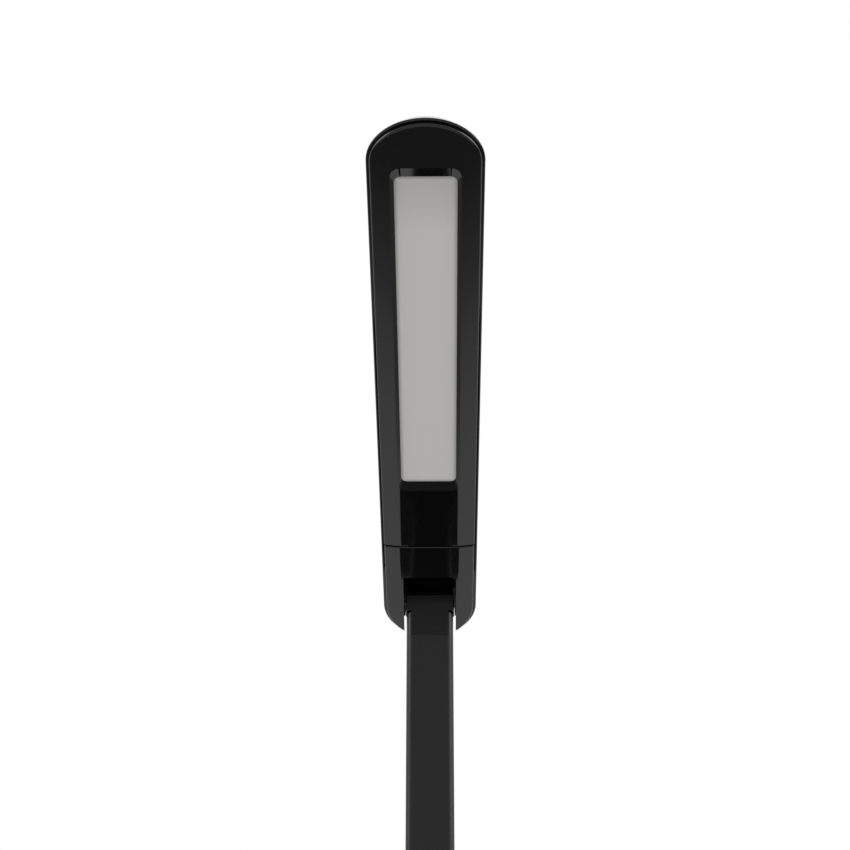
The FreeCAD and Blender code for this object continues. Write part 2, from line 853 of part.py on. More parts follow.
def base_hinge_fork():
    foot_bottom = plate_top + seat_gap
    foot_top = foot_bottom + foot_thickness
    foot = box(
        (-foot_half_width, foot_half_width),
        (pivot_back - foot_half_depth, pivot_back + foot_half_depth),
        (foot_bottom, foot_top),
    )
    ears = []
    for block in ear_profile(0, (foot_bottom, pivot_height)):
        bounds = block.BoundBox
        round_end = cross_rod(ear_half_depth, (bounds.XMin, bounds.XMax)).translated(pivot)
        ear = block.fuse(round_end).removeSplitter()
        rim = edges_where(ear, lambda b: b.XLength < seat_gap and b.ZMax > pivot_height)
        ears.append(ear.makeFillet(ear_edge_radius, rim))
    shape = foot.fuse(ears).removeSplitter()
    reach = slot_half + ear_thickness + overrun
    cuts = [cross_rod(base_bolt_radius + running_gap, (-reach, reach)).translated(pivot)]
    sink_floor = slot_half + ear_thickness - ear_sink
    for ends in ((-reach, -sink_floor), (sink_floor, reach)):
        cuts.append(cross_rod(base_bolt_head_radius + fit_gap, ends).translated(pivot))
    hole = plate_screw_radius + running_gap
    cuts += [stand(hole, place, (foot_bottom - overrun, foot_top + overrun)) for place in foot_screw_places]
    return cut_all(shape, cuts)


def control_board():
    z = (control_bottom, control_top)
    return rounded_slab(control_width, control_depth, control_corner, z, (0, -board_forward))


def tact_switch():
    bottom = control_top + seat_gap
    half = switch_width / 2
    y = (-board_forward - half, half - board_forward)
    body = box((-half, half), y, (bottom, switch_top))
    bore = stand(plunger_radius + fit_gap, (0, -board_forward), (bottom + switch_floor, switch_top + overrun))
    return body.cut(bore)


def switch_plunger():
    return stand(plunger_radius, (0, -board_forward), (plunger_top - plunger_height, plunger_top))


def power_button():
    place = (0, -board_forward)
    top = cover_top + button_proud
    flange_top = inner_top - fit_gap
    flange_bottom = flange_top - button_flange_thickness
    shape = stand(button_radius, place, (flange_bottom, top))
    shape = shape.makeFillet(button_edge_radius, edges_where(shape, lambda b: b.ZMin > top - seat_gap))
    flange = stand(button_radius + button_flange, place, (flange_bottom, flange_top))
    stem = stand(button_stem_radius, place, (plunger_top + seat_gap, flange_bottom))
    shape = shape.fuse([flange, stem]).removeSplitter()
    dish_centre = V(0, -board_forward, top - button_dish_depth + button_dish_radius)
    return shape.cut(Part.makeSphere(button_dish_radius, dish_centre))


def connector_y():
    back = control_depth / 2 - board_forward
    return (back - connector_depth, back)


def driver_parts():
    bottom = control_top + seat_gap
    half = connector_width / 2
    connector = box((-half, half), connector_y(), (bottom, bottom + connector_height))
    coil = stand(coil_radius, (board_part_across, -board_forward), (bottom, bottom + coil_height))
    chip = box(
        (-board_part_across - chip_block_width / 2, chip_block_width / 2 - board_part_across),
        (-board_forward - chip_block_depth / 2, chip_block_depth / 2 - board_forward),
        (bottom, bottom + chip_block_height),
    )
    return Part.makeCompound([connector, coil, chip])


def jack_y():
    back = base_depth / 2 - cover_wall - seat_gap
    return (back - jack_depth, back)


def dc_jack():
    bottom = plate_top + seat_gap
    y = jack_y()
    level = bottom + jack_height / 2
    body = box((-jack_width / 2, jack_width / 2), y, (bottom, bottom + jack_height))
    return body.cut(rod(jack_bore_radius, V(0, y[1] - jack_bore_depth, level), V(0, y[1] + overrun, level)))


def dc_jack_pin():
    level = plate_top + seat_gap + jack_height / 2
    start = jack_y()[1] - jack_bore_depth + seat_gap
    return rod(jack_pin_radius, V(0, start, level), V(0, start + jack_pin_length, level))


def base_leads():
    """One lead from the inlet to the board, one from the board to the hinge."""
    front = connector_y()[1] + seat_gap
    leads = []
    for side, end in ((1, jack_y()[0] - seat_gap), (-1, pivot_back)):
        x = side * jack_width / 4
        leads.append(rod(lead_radius, V(x, front, lead_level), V(x, end, lead_level)))
    return Part.makeCompound(leads)


# Placing of each group in the rest pose

def in_head(shape):
    return shape.rotated(V(), across, 90 + head_lean_forward).translated(head_axis)


def in_arm(shape):
    return shape.rotated(V(), across, -arm_lean_back).translated(pivot)


def at_base_hinge(shape):
    return shape.translated(pivot)


def in_base(shape):
    return shape


pieces = {
    in_head: {
        "head_back_shell": head_back_shell(),
        "face_bezel": face_bezel(),
        "neck_cover": neck_cover(),
        "diffuser": diffuser(),
        "reflector_tray": reflector_tray(),
        "led_board": led_board(),
        "led_chips": led_chips(),
        "heat_spreader": heat_spreader(),
        "head_lead": head_lead(),
        "head_screws": head_screws(),
        "head_hinge_bolt": head_hinge_bolt(),
        "head_lock_nut": head_lock_nut(),
        "head_spring_washers": head_spring_washers(),
        "head_friction_discs": friction_discs(head_bolt_radius),
    },
    in_arm: {
        "arm_tube": arm_tube(),
        "arm_top_cap": arm_top_cap(),
        "arm_bottom_cap": arm_bottom_cap(),
        "arm_top_bush": bush(head_bolt_radius).translated(upright * arm_reach),
        "arm_bottom_bush": bush(base_bolt_radius),
        "cap_screws": cap_screws(),
        "arm_lead": arm_lead(),
    },
    at_base_hinge: {
        "base_hinge_bolt": base_hinge_bolt(),
        "base_lock_nut": base_lock_nut(),
        "base_spring_washers": base_spring_washers(),
        "base_friction_discs": friction_discs(base_bolt_radius),
        "hinge_end_caps": hinge_end_caps(),
    },
    in_base: {
        "base_cover": base_cover(),
        "base_plate": base_plate(),
        "ballast_plate": ballast_plate(),
        "anti_slip_pad": anti_slip_pad(),
        "base_hinge_fork": base_hinge_fork(),
        "fork_screws": fork_screws(),
        "base_screws": base_screws(),
        "control_board": control_board(),
        "driver_parts": driver_parts(),
        "tact_switch": tact_switch(),
        "dc_jack": dc_jack(),
        "dc_jack_pin": dc_jack_pin(),
        "base_leads": base_leads(),
        "power_button": power_button(),
        "switch_plunger": switch_plunger(),
    },
}

os.makedirs("parts", exist_ok=True)
for place, group in pieces.items():
    for name, shape in group.items():
        placed = place(shape)
        placed.exportStep("parts/" + name + ".step")
        facts = (len(placed.Solids), placed.isValid(), round(placed.Volume, 1))
        print(name, "solids %d, valid %s, volume %s" % facts)
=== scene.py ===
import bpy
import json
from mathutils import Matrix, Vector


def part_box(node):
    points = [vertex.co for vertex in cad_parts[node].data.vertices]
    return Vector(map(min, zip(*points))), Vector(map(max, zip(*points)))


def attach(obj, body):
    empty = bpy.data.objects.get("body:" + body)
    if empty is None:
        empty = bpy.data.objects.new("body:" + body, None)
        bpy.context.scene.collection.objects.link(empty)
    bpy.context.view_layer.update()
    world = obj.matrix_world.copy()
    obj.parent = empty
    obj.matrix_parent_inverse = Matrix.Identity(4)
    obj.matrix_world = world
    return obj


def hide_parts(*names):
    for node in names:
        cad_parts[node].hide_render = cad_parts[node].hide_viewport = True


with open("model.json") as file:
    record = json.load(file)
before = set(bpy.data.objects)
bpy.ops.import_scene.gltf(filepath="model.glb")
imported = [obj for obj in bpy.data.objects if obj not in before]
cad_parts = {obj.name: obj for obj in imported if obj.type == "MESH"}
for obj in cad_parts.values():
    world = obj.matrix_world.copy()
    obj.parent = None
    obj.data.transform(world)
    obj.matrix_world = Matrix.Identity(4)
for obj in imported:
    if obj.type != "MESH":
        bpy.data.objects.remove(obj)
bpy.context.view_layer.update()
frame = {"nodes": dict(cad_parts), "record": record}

import json
import math

import bpy
from bpy.props import FloatProperty, FloatVectorProperty, PointerProperty
from mathutils import Matrix, Vector

bl_info = {
    "name": "Tilting desk lamp",
    "version": (1, 0, 0),
    "blender": (4, 5, 0),
    "location": "View3D > Sidebar > Desk lamp",
    "description": "Finishes a tilting LED desk lamp and sets it on a studio floor",
    "category": "Object",
}


def joint_place(name):
    """Place of a joint's axis at rest, in metres."""
    for joint in frame["record"]["behaviour"]["joints"]:
        if joint["name"] == name:
            return Vector(joint["pos_m"])
    raise RuntimeError("no joint named " + name)


# Places on the head and the arm, in metres from their hinges

HEAD_AXIS = joint_place("head_tilt")
ARM_AXIS = joint_place("arm_tilt")
HEAD_TURN = math.radians(146.3)
ARM_TURN = math.radians(-5.0)
WINDOW_LENGTH = 0.1583
WINDOW_WIDTH = 0.025
WINDOW_MIDDLE = 0.16495
HEAD_SCREW_PLACES = (
    (-0.0105, 0.254), (0.0105, 0.254), (-0.0115, 0.0629), (0.0115, 0.0629), (0.0, 0.0359),
)
HEAD_SCREW_SEAT = -0.00565
CAP_SCREW_LEVELS = (0.0251, 0.2449)
ARM_BACK = 0.0065

# Painted shade on the diffuser towards its rim and its far end: start, end and the two levels

RIM_PAINTED_SHADE = (0.0, 0.0018, 0.62, 1.0)
TIP_PAINTED_SHADE = (WINDOW_LENGTH / 2, WINDOW_LENGTH / 2 - 0.03, 0.82, 1.0)

# Mark on the button, in metres from the middle of its top: where each edge starts and is full

RING_RADIUS = 0.0031
RING_LINE = (0.00042, 0.00028)
NOTCH_SIDE = (0.0011, 0.0009)
NOTCH_START = (0.0, 0.0004)
BAR_SIDE = (0.0004, 0.00028)
BAR_START = (0.0006, 0.0008)
BAR_END = (0.0042, 0.0040)
DISH_LEVEL = (-0.0018, -0.0014)
BUTTON_GREY = (0.05, 0.05, 0.052, 1.0)
MARK_WHITE = (0.62, 0.62, 0.60, 1.0)

# Screws: shares of a head's height or radius, and how their meshes are made

SCREW_SIDES = 48
TOP_MARGIN = 0.1
PAN_ROUNDING = 0.4
PAN_STEPS = 5
PAN_RECESS_SPAN = 1.24
SUNK_ROUNDING = 0.08
SUNK_STEPS = 2
SUNK_RECESS_SPAN = 1.1
MERGE_DISTANCE = 0.000001
SMOOTH_ANGLE = math.radians(35.0)

# Stage, in metres. The floor glows for glossy rays only, as a painted reflection in bands: the first table
# holds depths, negative to the front, and how bright gloss sees the floor there

WHITE = (1.0, 1.0, 1.0, 1.0)
FLOOR_SIZE = 12.0
FLOOR_REFLECTION_GLOW = (
    (-1.15, 1.0), (-0.95, 0.2), (-0.68, 0.2), (-0.58, 0.95), (-0.40, 0.9), (-0.27, 0.12), (-0.18, 0.15),
    (-0.14, 0.30), (-0.10, 0.46), (-0.065, 0.68), (-0.02, 0.86), (0.03, 0.95), (0.4, 1.0),
)
FLOOR_DIMMED_ACROSS = (0.35, 0.7, 1.0, 0.3)
FLOOR_LIFTED_ACROSS = (1.0, 1.5, 0.0, 1.6)
FLOOR_LIFTED_BEHIND = (-0.05, 0.1)
FLOOR_WHITE_FROM = (0.25, 0.9)
FRONT_WAY = (-0.1, -0.95)
ABOVE_WAY = (0.05, 0.35)
LIGHT_WIDTH = 0.5
LIGHT_HEIGHT = 1.3
LIGHT_ASIDE = 1.0
LIGHT_DEPTH = -0.35
LIGHT_LEVEL = 0.75
LIGHT_AIM = (0.0, 0.0, 0.35)
SENSOR_WIDTH = 36.0

# Finishes

GRAIN_TONE = 0.3
GRAIN_BUMP = 0.3
ARM_SPECULAR = 0.36
BLACK_OXIDE = ((0.055, 0.055, 0.06), 0.36, 2600.0, 0.00003, 0.9)

# Sockets of a Mix node, by number because their names repeat

COLOUR_A = 6
COLOUR_B = 7
COLOUR_RESULT = 2
VALUE_A = 2
VALUE_B = 3
VALUE_RESULT = 0

dressed_nodes = set()


# Settings that a user would change

class LampFinishSettings(bpy.types.PropertyGroup):
    """Colours and gloss of the lamp's visible surfaces."""

    gloss_black: FloatVectorProperty(
        name="Gloss black", description="Colour of the head and base mouldings",
        subtype="COLOR", size=3, min=0.0, max=1.0, default=(0.0040, 0.0040, 0.0042),
    )
    gloss_roughness: FloatProperty(
        name="Gloss roughness", description="Roughness of the polished mouldings",
        subtype="FACTOR", min=0.0, max=1.0, default=0.05,
    )
    arm_black: FloatVectorProperty(
        name="Arm black", description="Colour of the satin arm tube",
        subtype="COLOR", size=3, min=0.0, max=1.0, default=(0.0110, 0.0107, 0.0125),
    )
    arm_roughness: FloatProperty(
        name="Arm roughness", description="Roughness of the satin arm tube",
        subtype="FACTOR", min=0.0, max=1.0, default=0.42,
    )
    cap_black: FloatVectorProperty(
        name="Cap black", description="Colour of the arm's end caps and of the hinge fork",
        subtype="COLOR", size=3, min=0.0, max=1.0, default=(0.0040, 0.0040, 0.0045),
    )
    cap_roughness: FloatProperty(
        name="Cap roughness", description="Roughness of the arm's end caps",
        subtype="FACTOR", min=0.0, max=1.0, default=0.3,
    )
    diffuser_white: FloatVectorProperty(
        name="Diffuser white", description="Colour of the frosted plate",
        subtype="COLOR", size=3, min=0.0, max=1.0, default=(0.80, 0.79, 0.76),
    )


class LampStageSettings(bpy.types.PropertyGroup):
    """Camera and light of the studio."""

    camera_back: FloatProperty(
        name="Camera distance", description="How far the camera stands in front of the head's hinge",
        unit="LENGTH", min=0.1, default=0.736,
    )
    camera_below: FloatProperty(
        name="Camera drop", description="How far the camera stands below the head's hinge",
        unit="LENGTH", min=0.0, default=0.132,
    )
    camera_right: FloatProperty(
        name="Camera offset", description="How far the camera stands to the right of the lamp's middle",
        unit="LENGTH", default=0.0055,
    )
    camera_pitch: FloatProperty(
        name="Camera pitch", description="How far the camera looks up",
        subtype="ANGLE", default=math.radians(16.976),
    )
    camera_yaw: FloatProperty(
        name="Camera yaw", description="How far the camera looks to the left",
        subtype="ANGLE", default=math.radians(0.62),
    )
    lens: FloatProperty(
        name="Lens", description="Focal length in millimetres on a 36 mm sensor",
        unit="CAMERA", min=1.0, default=63.5,
    )
    fill: FloatProperty(
        name="Fill light", description="Strength of the even light from the surroundings",
        min=0.0, default=0.34,
    )
    front_level: FloatProperty(
        name="Front level", description="How bright the camera's side of the studio looks in glossy surfaces",
        subtype="FACTOR", min=0.0, max=1.0, default=0.3,
    )
    side_power: FloatProperty(
        name="Left side light", description="Power of the left tall side light in watts",
        unit="POWER", min=0.0, default=5.5,
    )
    right_share: FloatProperty(
        name="Right share", description="Power of the right side light against the left one",
        min=0.0, default=1.2,
    )


class LampScrewSettings(bpy.types.PropertyGroup):
    """Sizes of the screws that show at the back."""

    pan_radius: FloatProperty(
        name="Pan head radius", description="Radius of the head's screw heads",
        unit="LENGTH", min=0.0005, default=0.0025,
    )
    pan_height: FloatProperty(
        name="Pan head height", description="Height of the head's screw heads",
        unit="LENGTH", min=0.0003, default=0.0018,
    )
    pan_shank: FloatProperty(
        name="Shank radius", description="Radius of the head screws' shanks",
        unit="LENGTH", min=0.0003, default=0.00125,
    )
    pan_length: FloatProperty(
        name="Shank length", description="Length of the head screws below their heads",
        unit="LENGTH", min=0.001, default=0.0082,
    )
    sunk_radius: FloatProperty(
        name="Sunk head radius", description="Radius of the arm's countersunk heads",
        unit="LENGTH", min=0.0005, default=0.0028,
    )
    sunk_depth: FloatProperty(
        name="Sunk head depth", description="Depth of the arm's countersunk heads",
        unit="LENGTH", min=0.0003, default=0.0014,
    )
    sunk_shank: FloatProperty(
        name="Sunk shank radius", description="Radius of the arm screws' shanks",
        unit="LENGTH", min=0.0003, default=0.0015,
    )
    sunk_length: FloatProperty(
        name="Sunk shank length", description="Length of the arm screws below their heads",
        unit="LENGTH", min=0.001, default=0.0032,
    )
    recess_width: FloatProperty(
        name="Recess width", description="Width of the cross recess's wings",
        unit="LENGTH", min=0.0001, default=0.0007,
    )
    recess_depth: FloatProperty(
        name="Recess depth", description="Depth of the cross recess",
        unit="LENGTH", min=0.0001, default=0.0009,
    )


# Node helpers

def add_node(tree, kind, inputs=None, **settings):
    """New node with its settings, and its inputs set or linked."""
    node = tree.nodes.new(kind)
    for name, value in settings.items():
        setattr(node, name, value)
    for name, value in (inputs or {}).items():
        if isinstance(value, bpy.types.NodeSocket):
            tree.links.new(value, node.inputs[name])
        else:
            node.inputs[name].default_value = value
    return node


def math_node(tree, operation, *values):
    """Result of a Math node on its values or sockets."""
    return add_node(tree, "ShaderNodeMath", dict(enumerate(values)), operation=operation).outputs["Value"]


def remap(tree, value, start=0.0, end=1.0, low=0.0, high=1.0, course="LINEAR"):
    """Value taken from one span to another and held at its ends."""
    return add_node(tree, "ShaderNodeMapRange", {
        "Value": value, "From Min": start, "From Max": end, "To Min": low, "To Max": high,
    }, interpolation_type=course).outputs["Result"]


def fade(tree, value, start, end, low=0.0, high=1.0):
    """Smooth step of a value from one level to another."""
    return remap(tree, value, start, end, low, high, "SMOOTHSTEP")


def noise(tree, place, scale, detail, roughness=0.5):
    """Value of a noise pattern."""
    return add_node(tree, "ShaderNodeTexNoise", {
        "Vector": place, "Scale": scale, "Detail": detail, "Roughness": roughness,
    }).outputs["Fac"]


def split(tree, vector):
    """The three coordinates of a vector, as sockets."""
    parts = add_node(tree, "ShaderNodeSeparateXYZ", {"Vector": vector})
    return parts.outputs["X"], parts.outputs["Y"], parts.outputs["Z"]


def distance(tree, x, y):
    """Distance of a point from the origin of a plane."""
    squares = math_node(tree, "ADD", math_node(tree, "POWER", x, 2.0), math_node(tree, "POWER", y, 2.0))
    return math_node(tree, "SQRT", squares)


def local_place(tree, place, origin, turn):
    """Object coordinates taken from an origin and turned back about X, as three sockets."""
    moved = add_node(tree, "ShaderNodeMapping", {
        "Vector": place, "Location": origin, "Rotation": (turn, 0.0, 0.0),
    }, vector_type="TEXTURE")
    return split(tree, moved.outputs["Vector"])


def mix_colours(tree, factor, first, second, blend="MIX"):
    """Colour mixed from two colours or sockets."""
    return add_node(tree, "ShaderNodeMix", {
        "Factor": factor, COLOUR_A: first, COLOUR_B: second,
    }, data_type="RGBA", blend_type=blend).outputs[COLOUR_RESULT]


def mix_shaders(tree, factor, first, second):
    """Shader mixed from two shaders."""
    return add_node(tree, "ShaderNodeMixShader", {0: factor, 1: first, 2: second}).outputs["Shader"]


def rgba(colour):
    """Colour with full alpha."""
    return (colour[0], colour[1], colour[2], 1.0)


# Effects that several materials share

def new_group(name, inputs, outputs):
    """Empty shader group with named sockets; gives the tree and its two end nodes."""
    tree = bpy.data.node_groups.new(name, "ShaderNodeTree")
    for socket, kind, value in inputs:
        made = tree.interface.new_socket(name=socket, in_out="INPUT", socket_type=kind)
        if value is not None:
            made.default_value = value
    for socket, kind in outputs:
        tree.interface.new_socket(name=socket, in_out="OUTPUT", socket_type=kind)
    return tree, tree.nodes.new("NodeGroupInput"), tree.nodes.new("NodeGroupOutput")


def moulded_skin_group():
    """Faint ripple of a moulding and the film that hands leave on it."""
    tree, given, result = new_group(
        "Moulded skin",
        [("Vector", "NodeSocketVector", None), ("Ripple scale", "NodeSocketFloat", 300.0),
         ("Gloss", "NodeSocketFloat", 0.05), ("Film", "NodeSocketFloat", 0.04)],
        [("Height", "NodeSocketFloat"), ("Roughness", "NodeSocketFloat")],
    )
    place = given.outputs["Vector"]
    ripple = noise(tree, place, scale=given.outputs["Ripple scale"], detail=2.0)
    film = noise(tree, place, scale=14.0, detail=5.0, roughness=0.62)
    patches = remap(tree, film, start=0.48, end=0.78)
    rough = math_node(tree, "MULTIPLY_ADD", patches, given.outputs["Film"], given.outputs["Gloss"])
    tree.links.new(ripple, result.inputs["Height"])
    tree.links.new(rough, result.inputs["Roughness"])
    return tree


def settled_dust_group():
    """Thin dust on what faces up."""
    tree, given, result = new_group(
        "Settled dust",
        [("Vector", "NodeSocketVector", None), ("Colour", "NodeSocketColor", WHITE),
         ("Dust", "NodeSocketColor", (0.30, 0.29, 0.27, 1.0)), ("Amount", "NodeSocketFloat", 0.02)],
        [("Colour", "NodeSocketColor")],
    )
    normal = add_node(tree, "ShaderNodeNewGeometry").outputs["Normal"]
    upward = split(tree, normal)[2]
    facing = remap(tree, upward, start=0.3, end=1.0)
    specks = noise(tree, given.outputs["Vector"], scale=420.0, detail=6.0, roughness=0.7)
    sparse = remap(tree, specks, start=0.5, end=0.72, low=0.15)
    cover = math_node(tree, "MULTIPLY", facing, sparse)
    share = math_node(tree, "MULTIPLY", cover, given.outputs["Amount"])
    mixed = mix_colours(tree, share, given.outputs["Colour"], given.outputs["Dust"])
    tree.links.new(mixed, result.inputs["Colour"])
    return tree


def grain_group():
    """Fine even grain of a satin surface, as a height, a tone and a roughness."""
    tree, given, result = new_group(
        "Satin grain",
        [("Vector", "NodeSocketVector", None), ("Scale", "NodeSocketFloat", 2500.0),
         ("Tone", "NodeSocketFloat", 0.15), ("Gloss", "NodeSocketFloat", 0.4)],
        [("Height", "NodeSocketFloat"), ("Tone", "NodeSocketFloat"), ("Roughness", "NodeSocketFloat")],
    )
    grain = noise(tree, given.outputs["Vector"], scale=given.outputs["Scale"], detail=3.0, roughness=0.6)
    offset = math_node(tree, "SUBTRACT", grain, 0.5)
    tone = math_node(tree, "MULTIPLY_ADD", offset, given.outputs["Tone"], 1.0)
    rough = math_node(tree, "MULTIPLY_ADD", offset, 0.25, given.outputs["Gloss"])
    tree.links.new(grain, result.inputs["Height"])
    tree.links.new(tone, result.inputs["Tone"])
    tree.links.new(rough, result.inputs["Roughness"])
    return tree


def shared_group(name):
    """One of the shared groups, made the first time it is asked for."""
    makers = {
        "Moulded skin": moulded_skin_group, "Settled dust": settled_dust_group, "Satin grain": grain_group,
    }
    return bpy.data.node_groups.get(name) or makers[name]()


def place_group(tree, name, inputs):
    """Shared group in a material, with its own values."""
    return add_node(tree, "ShaderNodeGroup", inputs, node_tree=shared_group(name))


# Finishes

def new_material(name):
    """Material with a Principled shader; gives the material, tree, shader and object coordinates."""
    material = bpy.data.materials.new(name)
    material.use_nodes = True
    tree = material.node_tree
    shader = tree.nodes["Principled BSDF"]
    place = add_node(tree, "ShaderNodeTexCoord").outputs["Object"]
    return material, tree, shader, place


def add_bump(tree, shader, height, strength, distance):
    """Bump from a height to the shader's normal."""
    bump = add_node(tree, "ShaderNodeBump", {"Strength": strength, "Distance": distance, "Height": height})
    tree.links.new(bump.outputs["Normal"], shader.inputs["Normal"])


def tint(tree, shader, colour, tone):
    """Give the shader a colour that follows a tone over the surface."""
    tinted = mix_colours(tree, 1.0, colour, tone, "MULTIPLY")
    tree.links.new(tinted, shader.inputs["Base Color"])


def dress(material, nodes):
    """Give a material to CAD nodes, in all their slots."""
    for name in nodes:
        for slot in frame["nodes"][name].material_slots:
            slot.material = material
        dressed_nodes.add(name)


def gloss_moulding(name, settings, dust):
    """Polished black plastic with a faint ripple, hand film and a little dust."""
    material, tree, shader, place = new_material(name)
    skin = place_group(tree, "Moulded skin", {
        "Vector": place, "Ripple scale": 70.0, "Gloss": settings.gloss_roughness, "Film": 0.05,
    })
    dusty = place_group(tree, "Settled dust", {
        "Vector": place, "Colour": rgba(settings.gloss_black), "Amount": dust,
    })
    tree.links.new(dusty.outputs["Colour"], shader.inputs["Base Color"])
    tree.links.new(skin.outputs["Roughness"], shader.inputs["Roughness"])
    shader.inputs["IOR"].default_value = 1.5
    add_bump(tree, shader, skin.outputs["Height"], strength=0.02, distance=0.0004)
    return material


def grained_material(name, scale, tone, roughness, bump_distance):
    """Material with the grain's roughness and bump; gives it, its tree, shader, coordinates and tone."""
    material, tree, shader, place = new_material(name)
    grain = place_group(tree, "Satin grain", {
        "Vector": place, "Scale": scale, "Tone": tone, "Gloss": roughness,
    })
    tree.links.new(grain.outputs["Roughness"], shader.inputs["Roughness"])
    add_bump(tree, shader, grain.outputs["Height"], GRAIN_BUMP, bump_distance)
    return material, tree, shader, place, grain.outputs["Tone"]


def satin_surface(name, colour, roughness, grain_scale, bump_distance, metallic=0.0, specular=0.5):
    """Even satin surface with a fine grain."""
    material, tree, shader, _, tone = grained_material(
        name, grain_scale, GRAIN_TONE, roughness, bump_distance)
    tint(tree, shader, rgba(colour), tone)
    shader.inputs["Metallic"].default_value = metallic
    shader.inputs["Specular IOR Level"].default_value = specular
    return material


def screw_finish(name):
    """Black oxide on steel."""
    return satin_surface(name, *BLACK_OXIDE)


# Name, colour, roughness, grain scale, bump distance, metallic and nodes of each inner finish

INSIDE_FINISHES = (
    ("Satin white tray", (0.82, 0.82, 0.80), 0.45, 1500.0, 0.00004, 0.0, ["reflector_tray"]),
    ("White solder mask", (0.78, 0.79, 0.77), 0.5, 900.0, 0.00004, 0.0, ["led_board"]),
    ("Yellow phosphor", (0.85, 0.62, 0.12), 0.55, 3000.0, 0.00005, 0.0, ["led_chips"]),
    ("Rolled aluminium", (0.72, 0.73, 0.74), 0.38, 1200.0, 0.00004, 1.0, ["heat_spreader"]),
    ("Dull lead jacket", (0.03, 0.03, 0.03), 0.7, 1600.0, 0.00006, 0.0,
     ["head_lead", "arm_lead", "base_leads"]),
    ("Zinc plate", (0.58, 0.58, 0.60), 0.3, 1800.0, 0.00003, 1.0,
     ["head_hinge_bolt", "head_lock_nut", "head_spring_washers", "base_hinge_bolt", "base_lock_nut",
      "base_spring_washers", "fork_screws", "base_screws"]),
    ("Black oxide", *BLACK_OXIDE, ["head_screws", "cap_screws"]),
    ("Pressed fibre", (0.06, 0.05, 0.04), 0.8, 1100.0, 0.00012, 0.0,
     ["head_friction_discs", "base_friction_discs"]),
    ("Turned bronze", (0.60, 0.42, 0.20), 0.32, 2000.0, 0.00003, 1.0, ["arm_top_bush", "arm_bottom_bush"]),
    ("Painted sheet black", (0.02, 0.02, 0.02), 0.5, 1300.0, 0.00006, 0.0, ["base_plate"]),
    ("Raw iron plate", (0.16, 0.155, 0.15), 0.6, 500.0, 0.0002, 0.7, ["ballast_plate"]),
    ("Green board", (0.02, 0.16, 0.06), 0.42, 700.0, 0.00005, 0.0, ["control_board"]),
    ("Dull component black", (0.02, 0.02, 0.02), 0.55, 1900.0, 0.00005, 0.0,
     ["driver_parts", "tact_switch", "dc_jack", "switch_plunger"]),
    ("Nickel pin", (0.76, 0.75, 0.72), 0.16, 2400.0, 0.00002, 1.0, ["dc_jack_pin"]),
)


class LAMP_OT_finish_head(bpy.types.Operator):
    """Give the head's mouldings their polished black finish"""

    bl_idname = "lamp.finish_head"
    bl_label = "Finish the head"

    def execute(self, context):
        moulding = gloss_moulding("Polished black head", context.scene.lamp_finish, dust=0.01)
        dress(moulding, ["head_back_shell", "face_bezel", "neck_cover"])
        return {"FINISHED"}


class LAMP_OT_finish_diffuser(bpy.types.Operator):
    """Give the light window its frosted plate, with painted shade towards its rim and its far end"""

    bl_idname = "lamp.finish_diffuser"
    bl_label = "Finish the diffuser"

    def execute(self, context):
        settings = context.scene.lamp_finish
        material, tree, shader, place, grain_tone = grained_material(
            "Frosted acrylic", scale=1800.0, tone=0.03, roughness=0.5, bump_distance=0.00004)
        across, length = local_place(tree, place, HEAD_AXIS, HEAD_TURN)[:2]
        from_side = math_node(tree, "SUBTRACT", WINDOW_WIDTH / 2, math_node(tree, "ABSOLUTE", across))
        along = math_node(tree, "SUBTRACT", length, WINDOW_MIDDLE)
        from_end = math_node(tree, "SUBTRACT", WINDOW_LENGTH / 2, math_node(tree, "ABSOLUTE", along))
        # Painted shade: the plate's colour darkens towards its rim and its far end
        rim = fade(tree, math_node(tree, "MINIMUM", from_side, from_end), *RIM_PAINTED_SHADE)
        tip = fade(tree, along, *TIP_PAINTED_SHADE)
        tone = math_node(tree, "MULTIPLY", math_node(tree, "MULTIPLY", rim, tip), grain_tone)
        tint(tree, shader, rgba(settings.diffuser_white), tone)
        dress(material, ["diffuser"])
        return {"FINISHED"}


class LAMP_OT_finish_arm(bpy.types.Operator):
    """Give the arm its satin tube and moulded caps"""

    bl_idname = "lamp.finish_arm"
    bl_label = "Finish the arm"

    def execute(self, context):
        settings = context.scene.lamp_finish
        tube = satin_surface("Satin black tube", settings.arm_black, settings.arm_roughness,
                             grain_scale=3200.0, bump_distance=0.00006, specular=ARM_SPECULAR)
        caps = satin_surface("Moulded cap black", settings.cap_black, settings.cap_roughness,
                             grain_scale=1500.0, bump_distance=0.00005, specular=ARM_SPECULAR)
        dress(tube, ["arm_tube"])
        dress(caps, ["arm_top_cap", "arm_bottom_cap", "hinge_end_caps"])
        return {"FINISHED"}


